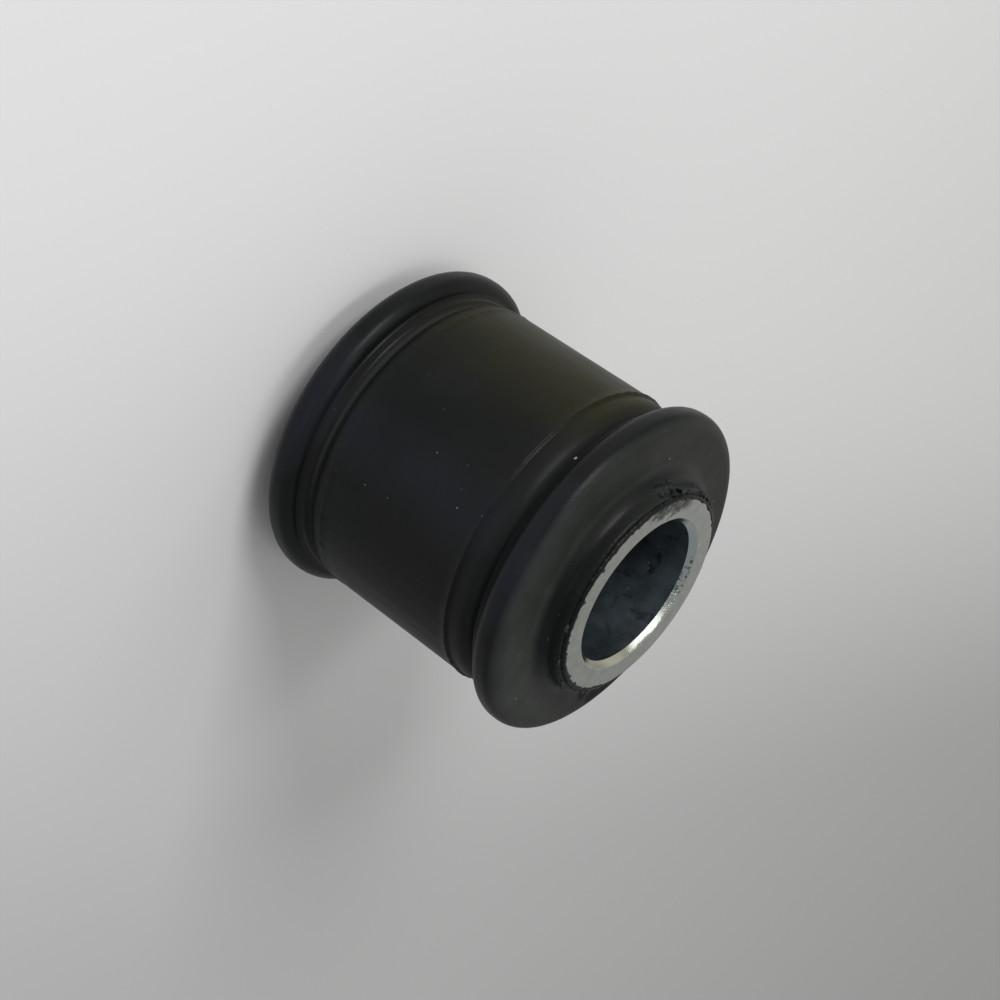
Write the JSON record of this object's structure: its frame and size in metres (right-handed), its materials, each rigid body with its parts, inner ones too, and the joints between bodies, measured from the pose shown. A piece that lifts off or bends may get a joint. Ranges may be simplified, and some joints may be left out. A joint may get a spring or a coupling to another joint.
{
  "type": "shock absorber bushing",
  "caption": "Rubber bushing with rounded flanges, moulded around a steel inner sleeve that takes a bolt; its plain middle is pressed into the eye of a shock absorber.",
  "frame": {"origin": "centre of the bore, halfway along the sleeve", "axes": "+Z along the bore axis, towards the end that faces the camera in the picture; X and Y are radial"},
  "size_m": [0.036, 0.036, 0.037],
  "materials": {
    "sleeve_steel": "satin, sawn and faced ends, oxidised dark bore",
    "black_rubber": "matte moulded rubber"
  },
  "bodies": {
    "root": {"inner_sleeve": "sleeve_steel", "rubber_body": "black_rubber"}
  },
  "joints": []
}
